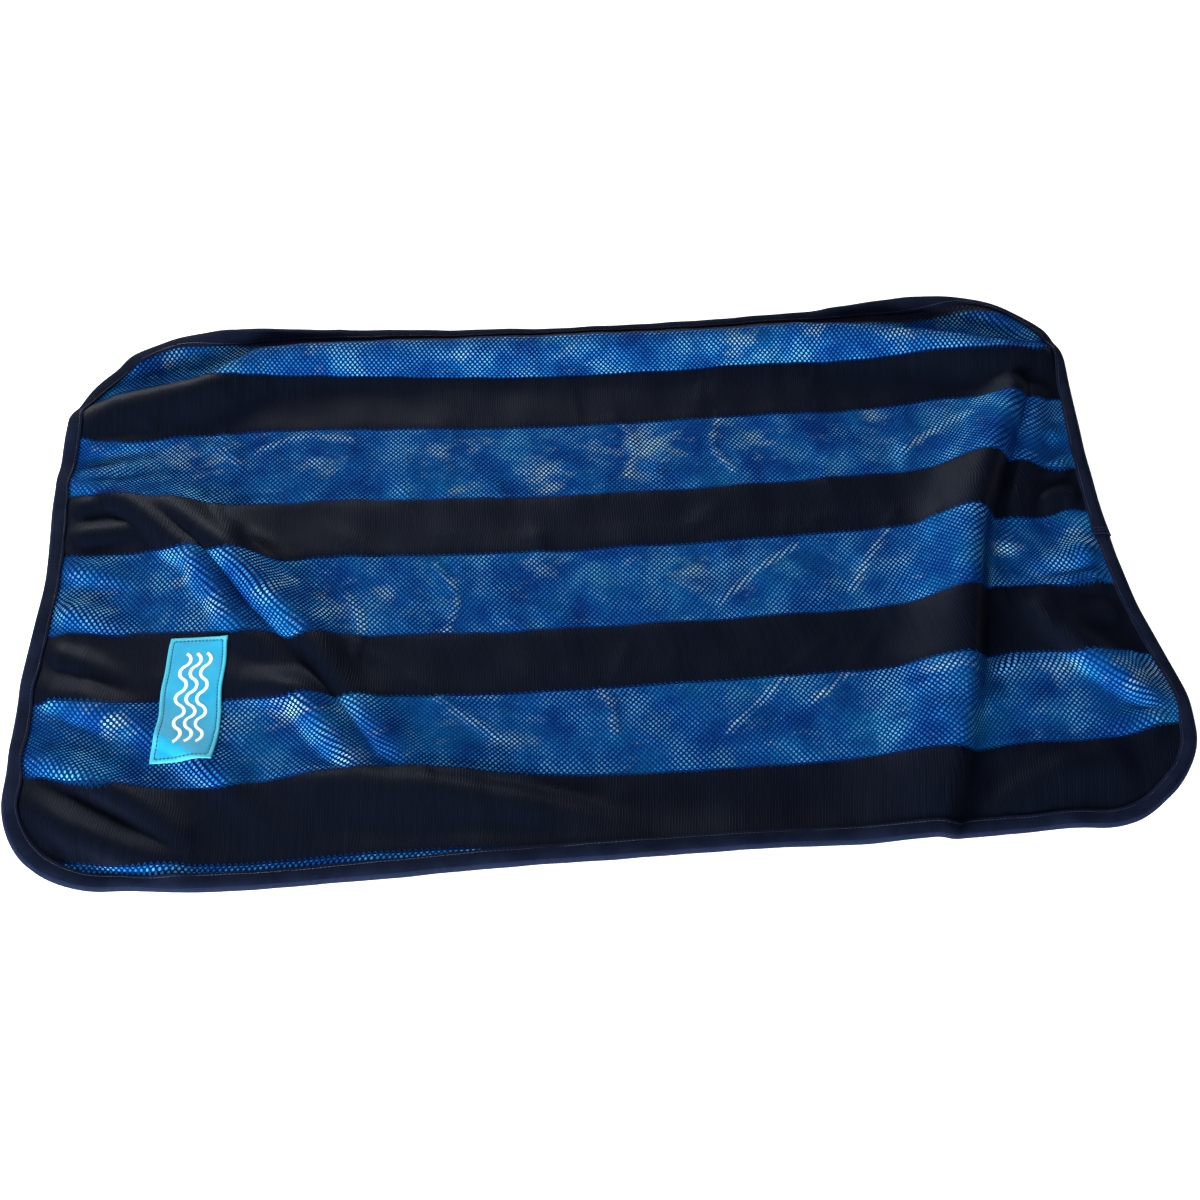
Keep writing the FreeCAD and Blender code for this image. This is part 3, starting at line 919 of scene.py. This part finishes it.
def paint_lining(piece):
    """Masks of the lining: a painted highlight in pale places and on creases, painted shade under the
    strip behind the far ridge.
    """
    x, y = plan_places(piece.data)
    pale = np.zeros(len(x))
    # painted highlight in the pale places
    for px, py, reach in PALE_PLACES:
        ragged = 1 + PALE_RAGGED * np.sin(x / 4.1 + py) * np.sin(y / 3.3 + px)
        spread = ((x - px) ** 2 + ((y - py) * PALE_SQUEEZED) ** 2) / (reach * ragged) ** 2
        pale += (PALE_LEAST + PALE_BY_REACH * reach) * np.exp(-spread)
    # painted highlight along the creases
    for line in CREASES:
        points = [(px, py, CREASE_PALENESS) for px, py in line]
        pale += fold_height(x, y, points, CREASE_PALE_WIDTH, CREASE_PALE_WIDTH, 4)
    # painted shade: dark under the strip of the first net behind the far ridge
    dark = np.clip((y - shade_strip_start(x)) / 2, 0, 1)
    shown = np.stack([np.clip(pale, 0, 1), dark, np.zeros(len(x)), np.ones(len(x))], axis=1)
    layer = piece.data.color_attributes.new("lining_light_shade_mask", "FLOAT_COLOR", "POINT")
    layer.data.foreach_set("color", shown.astype(np.float32).ravel())
    return piece


# ---- binding
# The tape's section: inset from the cut edge and height, from its top leaf round the fold to the other.
TAPE_SECTION = np.array([
    (TAPE_WIDTH, 5.3), (TAPE_WIDTH, 6.0), (11.2, 6.35), (SEAM_INSET, 6.15), (9.0, 6.4), (6.0, 6.8),
    (3.0, 6.35), (1.0, 5.0), (0.0, 3.2), (0.7, 1.5), (2.5, 0.7), (6.0, 0.5), (9.2, 0.5),
    (TAPE_WIDTH, 0.5), (TAPE_WIDTH, 1.0)])
TOP_LEAF = TAPE_SECTION[:8]
# Distance of each point of the section from its first one, along it.
SECTION_RUN = np.concatenate([[0], np.cumsum(np.hypot(*np.diff(TAPE_SECTION, axis=0).T))])


def tape_piece(name, at, s, t, height, faces):
    """A folded piece of the tape, laid from cloth points s, t and heights."""
    uv = np.stack([at, np.broadcast_to(SECTION_RUN, at.shape)], axis=-1)
    piece = new_mesh(name, on_cloth(s, t, height), faces, uv)
    return piece


def binding():
    """Tape folded round the cut edge, drawn in a little at each stitch of its seam."""
    count = round(EDGE_LENGTH / TAPE_STEP)
    distance = np.arange(count) * EDGE_LENGTH / count
    inset, height = TAPE_SECTION.T
    at, d = np.meshgrid(distance, inset, indexing="ij")
    h = np.broadcast_to(height, at.shape).copy()
    drawn = 0.5 + 0.5 * np.cos(2 * math.pi * at * round(EDGE_LENGTH / STITCH) / EDGE_LENGTH)
    top = h > 4
    h -= np.where(top, DRAWN_IN * drawn * np.exp(-(((d - SEAM_INSET) / DRAWN_REACH) ** 2)), 0)
    ease = sum(share * np.sin(at / length + phase) for length, phase, share in TAPE_WAVES)
    h += np.where(top, TAPE_WAVE_HEIGHT * ease * np.clip(d / 6, 0, 1), 0)
    s, t = edge_at(at, d + WANDER * np.sin(at / WANDER_LENGTH))
    return tape_piece("binding_tape_cloth", at, s, t, h, grid_faces(*at.shape, wrap=True))


def binding_lap():
    """The tape's end on the right edge: it lies over its start, flares a little and is cut square."""
    low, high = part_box("binding_lap")
    t_middle = cloth_point(HALF_S, (low.y + high.y) / 2 / MM)[1]
    start = EDGE_LENGTH - (HALF_T - CORNER_RADIUS) + t_middle
    share = np.linspace(0, 1, LAP_ROWS)
    inset, height = TAPE_SECTION.T
    out_s = np.gradient(height)
    out_h = -np.gradient(inset)
    size = np.hypot(out_s, out_h) + 1e-9
    out_s, out_h = -out_s / size, out_h / size
    ease = share * share * (3 - 2 * share)
    grow = LAP_CLEAR + LAP_RISE * ease + LAP_FLARE * share**8
    inner = np.concatenate([grow, [grow[-1], 0.02]])
    cut = -0.5 * LAP_LENGTH - LAP_CUT
    along = np.concatenate([(0.5 - share) * LAP_LENGTH, [cut, cut]])
    at = start + along[:, None] + np.zeros(len(inset))
    d = inset - out_s * inner[:, None]
    h = np.maximum(height + out_h * inner[:, None], 0.1)
    s, t = edge_at(at, d)
    piece = tape_piece("binding_lap_cloth", at, s, t, h, grid_faces(*at.shape)[:, ::-1])
    return piece, start


# ---- stitches
def stitches(name, first, last, height, under=False, width=THREAD, lay=on_cloth):
    """Thread lying from cloth points first to last, its ends sunk in the cloth and its middle proud."""
    rings, sides = 5, 6
    u = np.array([0, 0.12, 0.5, 0.88, 1])[None, :, None]
    around = np.arange(sides) * 2 * math.pi / sides
    first, last = np.transpose(first), np.transpose(last)
    run = last - first
    length = np.hypot(*run.T)
    across = np.stack([-run[:, 1], run[:, 0]], axis=1) / length[:, None]
    proud = np.sin(math.pi * u)
    radius = width / 2 * (0.5 + 0.5 * proud)
    side = radius * np.cos(around)
    s = first[:, 0, None, None] + run[:, 0, None, None] * u + across[:, 0, None, None] * side
    t = first[:, 1, None, None] + run[:, 1, None, None] * u + across[:, 1, None, None] * side
    sign = -1 if under else 1
    rise = THREAD_FLATTENED * radius * np.sin(around) + sign * (THREAD_PROUD * proud - THREAD_SUNK)
    h = np.broadcast_to(np.asarray(height, float).reshape(-1, 1, 1), s.shape) + rise
    uv = np.stack([np.broadcast_to(u * length[:, None, None], s.shape),
                   np.broadcast_to(around * width / 2, s.shape)], axis=-1)
    return new_mesh(name, lay(s, t, h), tube_faces(len(first), rings, sides), uv)


def binding_stitches(name, height, under):
    """The seam's thread: one stitch after the other all round, a small gap between them."""
    count = round(EDGE_LENGTH / STITCH)
    pitch = EDGE_LENGTH / count
    at = np.arange(count) * pitch
    first = edge_at(at + STITCH_GAP / 2, SEAM_INSET)
    last = edge_at(at + pitch - STITCH_GAP / 2, SEAM_INSET)
    return stitches(name, first, last, height, under)


def lap_stitches(start):
    """Two rows of stitches across the lap, near its cut end."""
    at = start + np.repeat(TACK_ROWS, TACK_COUNT) * LAP_LENGTH
    inset = TACK_FROM + np.tile(np.arange(TACK_COUNT), len(TACK_ROWS)) * TACK_STEP
    height = np.interp(inset + STITCH / 2, *TOP_LEAF[::-1].T) + LAP_RISE + LAP_CLEAR
    last = edge_at(at, inset + TACK_STEP - STITCH_GAP)
    return stitches("lap_tack_thread", edge_at(at, inset), last, height)


# ---- label
def on_label(u, v):
    """Cloth points of label points u across and v along, in millimetres from its middle."""
    low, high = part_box("label")
    s, t = cloth_point((low.x + high.x) / 2 / MM, (low.y + high.y) / 2 / MM)
    c, w = math.cos(LABEL_TURN), math.sin(LABEL_TURN)
    return s + u * c - v * w, t + u * w + v * c


def stiff(s, t, height):
    """Places on the cloth as a stiffer piece takes them: small folds are bridged, never cut into."""
    own = on_cloth(s, t, height)
    bridged = np.zeros(own.shape)
    reach_s, reach_t = STIFF_REACH
    for ds, dt in ((0, 0), (reach_s, 0), (-reach_s, 0), (0, reach_t), (0, -reach_t)):
        bridged += on_cloth(s + ds, t + dt, height) / 5
    own[..., 2] = np.maximum(own[..., 2], bridged[..., 2])
    own[..., :2] = bridged[..., :2]
    return own


def slab(name, s, t, low, high, uv):
    """A closed thin slab over a grid of cloth points."""
    rows, columns = s.shape
    places = np.concatenate([stiff(s, t, high).reshape(-1, 3), stiff(s, t, low).reshape(-1, 3)])
    top = grid_faces(rows, columns)
    under = top[:, ::-1] + rows * columns
    index = np.arange(rows * columns).reshape(rows, columns)
    rim = np.concatenate([index[0, :-1], index[:-1, -1], index[-1, :0:-1], index[:0:-1, 0]])
    after = np.roll(rim, -1)
    wall = np.stack([rim, after, after + rows * columns, rim + rows * columns], axis=1)
    flat = np.asarray(uv).reshape(-1, 2)
    return new_mesh(name, places, np.vstack([top, under, wall]), np.vstack([flat, flat]))


def label():
    """Woven label with a turned hem, drawn in along its stitch line."""
    half_u, half_v = LABEL_SIZE[0] / 2, LABEL_SIZE[1] / 2
    u, v = (np.linspace(-half, half, points) for half, points in zip((half_u, half_v), LABEL_POINTS))
    u, v = np.meshgrid(u, v, indexing="ij")
    inset = np.minimum(half_u - np.abs(u), half_v - np.abs(v))
    high = LABEL_Z + LABEL_THICK + HEM_BULGE * np.exp(-((inset - HEM_INSET) / HEM_REACH) ** 2)
    high = high - SEAM_DIP * np.exp(-((inset - LABEL_SEAM) / SEAM_REACH) ** 2)
    high = high - EDGE_FALL * np.exp(-inset / EDGE_REACH)
    high = high + LABEL_WAVE * np.sin(v / 9) * np.sin(u / 11 + 1)
    s, t = on_label(u, v)
    piece = slab("label_cloth", s, t, np.full(u.shape, LABEL_Z), high, np.stack([u, v], axis=-1))
    return piece


def label_stitches():
    """Stitches all round the label, inside its hem."""
    half_u, half_v = LABEL_SIZE[0] / 2 - LABEL_SEAM, LABEL_SIZE[1] / 2 - LABEL_SEAM
    corners = [(-half_u, -half_v), (half_u, -half_v), (half_u, half_v), (-half_u, half_v)]
    first, last = [], []
    for k in range(4):
        a, b = np.array(corners[k]), np.array(corners[(k + 1) % 4])
        length = np.hypot(*(b - a))
        count = round(length / STITCH)
        step = (b - a) / count
        gap = step / np.hypot(*step) * LABEL_STITCH_END
        for number in range(count):
            first.append(on_label(*(a + step * number + gap)))
            last.append(on_label(*(a + step * (number + 1) - gap)))
    height = np.full(len(first), LABEL_Z + LABEL_THICK - 0.02)
    return stitches("label_thread_stitches", np.array(first).T, np.array(last).T, height,
                    width=LABEL_THREAD, lay=stiff)


def label_waves():
    """Three embroidered wave lines, each a chain of arcs that bulge to one side and the other."""
    span = 2 * WAVE_RADIUS * math.sin(WAVE_HALF_ANGLE)
    centre_u, centre_v, lean = [], [], []
    for number in range(WAVE_ARCS):
        side = 1 if number % 2 == 0 else -1
        last = number == WAVE_ARCS - 1
        angle = np.linspace(-WAVE_HALF_ANGLE, WAVE_HALF_ANGLE, ARC_STEPS + 1)[:None if last else -1]
        centre_u.append(side * WAVE_RADIUS * (np.cos(angle) - math.cos(WAVE_HALF_ANGLE)))
        centre_v.append((number - (WAVE_ARCS - 1) / 2) * span + WAVE_RADIUS * np.sin(angle))
        lean.append(side * angle)
    u, v, lean = np.concatenate(centre_u), np.concatenate(centre_v), np.concatenate(lean)
    across = np.linspace(-0.5, 0.5, 7)
    crown = LABEL_Z + LABEL_THICK + MOTIF_LOW + MOTIF_CROWN * np.cos(math.pi * across) ** 0.6
    places, uvs, faces, count = [], [], [], 0
    run = np.arange(len(u)) * WAVE_RADIUS * 2 * WAVE_HALF_ANGLE / ARC_STEPS
    for shift in (-WAVE_PITCH, 0, WAVE_PITCH):
        pu = shift + u[:, None] + across * WAVE_WIDTH * np.cos(lean)[:, None]
        pv = v[:, None] + across * WAVE_WIDTH * np.sin(lean)[:, None]
        s, t = on_label(pu, pv)
        places.append(stiff(s, t, np.broadcast_to(crown, s.shape)).reshape(-1, 3))
        uvs.append(np.stack(np.broadcast_arrays(run[:, None], across), axis=-1).reshape(-1, 2))
        faces.append(grid_faces(*s.shape)[:, ::-1] + count)
        count += s.size
    return new_mesh("label_motif_embroidery", np.vstack(places), np.vstack(faces), np.vstack(uvs))


# ---- floor, light and camera, in metres
FLOOR_HALF = 30.0
FLOOR_DROP = 0.0002
CAMERA_PLACE = Vector((-0.0444, -0.5991, 0.8756))
CAMERA_AHEAD = Vector((0.0494, 0.54, -0.8402))
CAMERA_RIGHT = Vector((0.9976, -0.0676, 0.0152))


def floor():
    """Plain white floor that glows faintly, so that it stays pale under the sheet's edge."""
    corners = [(x * FLOOR_HALF, y * FLOOR_HALF, 0) for x, y in ((-1, -1), (1, -1), (1, 1), (-1, 1))]
    mesh = bpy.data.meshes.new("floor")
    mesh.from_pydata(corners, [], [(0, 1, 2, 3)])
    obj = new_object("floor", mesh)
    obj.location.z = -FLOOR_DROP
    m, b = shader("floor", grey(0.86), 0.9, 0.1)
    b.inputs["Emission Color"].default_value = (1, 1, 1, 1)
    b.inputs["Emission Strength"].default_value = 0.8
    mesh.materials.append(m)


def area_light(name, place, size, watts, colour=(1, 1, 1)):
    """A soft light aimed at the middle of the sheet."""
    data = bpy.data.lights.new(name, "AREA")
    data.shape = "RECTANGLE"
    data.size, data.size_y = size
    data.energy = watts
    data.color = colour
    obj = new_object(name, data)
    obj.location = place
    obj.rotation_euler = (-Vector(place)).to_track_quat("-Z", "Y").to_euler()


def lights():
    """Soft lights from the far left and the near left, a weak one above, and a dim white room."""
    world = bpy.data.worlds.new("room")
    world.use_nodes = True
    background = world.node_tree.nodes["Background"]
    background.inputs["Color"].default_value = (1, 1, 1, 1)
    background.inputs["Strength"].default_value = 0.12
    bpy.context.scene.world = world
    area_light("key", (-1.0, 2.75, 1.1), (1.5, 0.9), 150)
    area_light("near_fill", (-0.9, -2.1, 0.56), (1.6, 0.6), 188, (0.86, 0.95, 1.0))
    area_light("overhead", (0.1, -0.5, 1.9), (1.2, 1.2), 13)


def camera():
    """Camera looking 57 degrees down, turned 5 degrees and rolled a little."""
    data = bpy.data.cameras.new("camera")
    data.sensor_width = 36.0
    data.lens = 42.9
    obj = new_object("camera", data)
    ahead, right = CAMERA_AHEAD.normalized(), CAMERA_RIGHT.normalized()
    up = right.cross(ahead)
    turn = Matrix((right, up, -ahead)).transposed()
    obj.matrix_world = Matrix.Translation(CAMERA_PLACE) @ turn.to_4x4()
    bpy.context.scene.camera = obj
    bpy.context.scene.view_settings.view_transform = "Standard"


# ---- the object
def place(piece, cad_node, slot):
    """Ride the piece on the sheet's one body, in place of its node, with the material named by slot."""
    piece.data.materials.append(MATERIALS[slot])
    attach(piece, "root")
    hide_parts(cad_node)


floor()
lining = paint_lining(layer_sheet("cooling_lining_cloth", LINING_Z, LINING_STEP))
place(lining, "cooling_lining", "lining")
place(layer_sheet("back_cloth_layer", BACK_Z, BACK_STEP), "back_cloth", "backing")
for number in range(1, NET_BANDS + 1):
    net = net_band(number, *BAND_EDGES[2 * number - 2:2 * number])
    place(net, f"net_band_{number}", "net")
    if number == 1:
        paint_net_shade(net)
for number in range(1, NET_BANDS):
    knit = knit_band(number, *BAND_EDGES[2 * number - 1:2 * number + 1])
    place(knit, f"knit_band_{number}", "knit")
place(binding(), "binding_tape", "binding")
lap, lap_start = binding_lap()
place(lap, "binding_lap", "binding")
place(lap_stitches(lap_start), "lap_tack", "thread")
place(binding_stitches("binding_needle_stitches", NEEDLE_Z, False), "binding_needle_thread", "thread")
place(binding_stitches("binding_bobbin_stitches", BOBBIN_Z, True), "binding_bobbin_thread", "thread")
place(label(), "label", "label")
place(label_stitches(), "label_thread", "label_thread")
place(label_waves(), "label_motif", "motif")
lights()
camera()
bpy.context.view_layer.update()
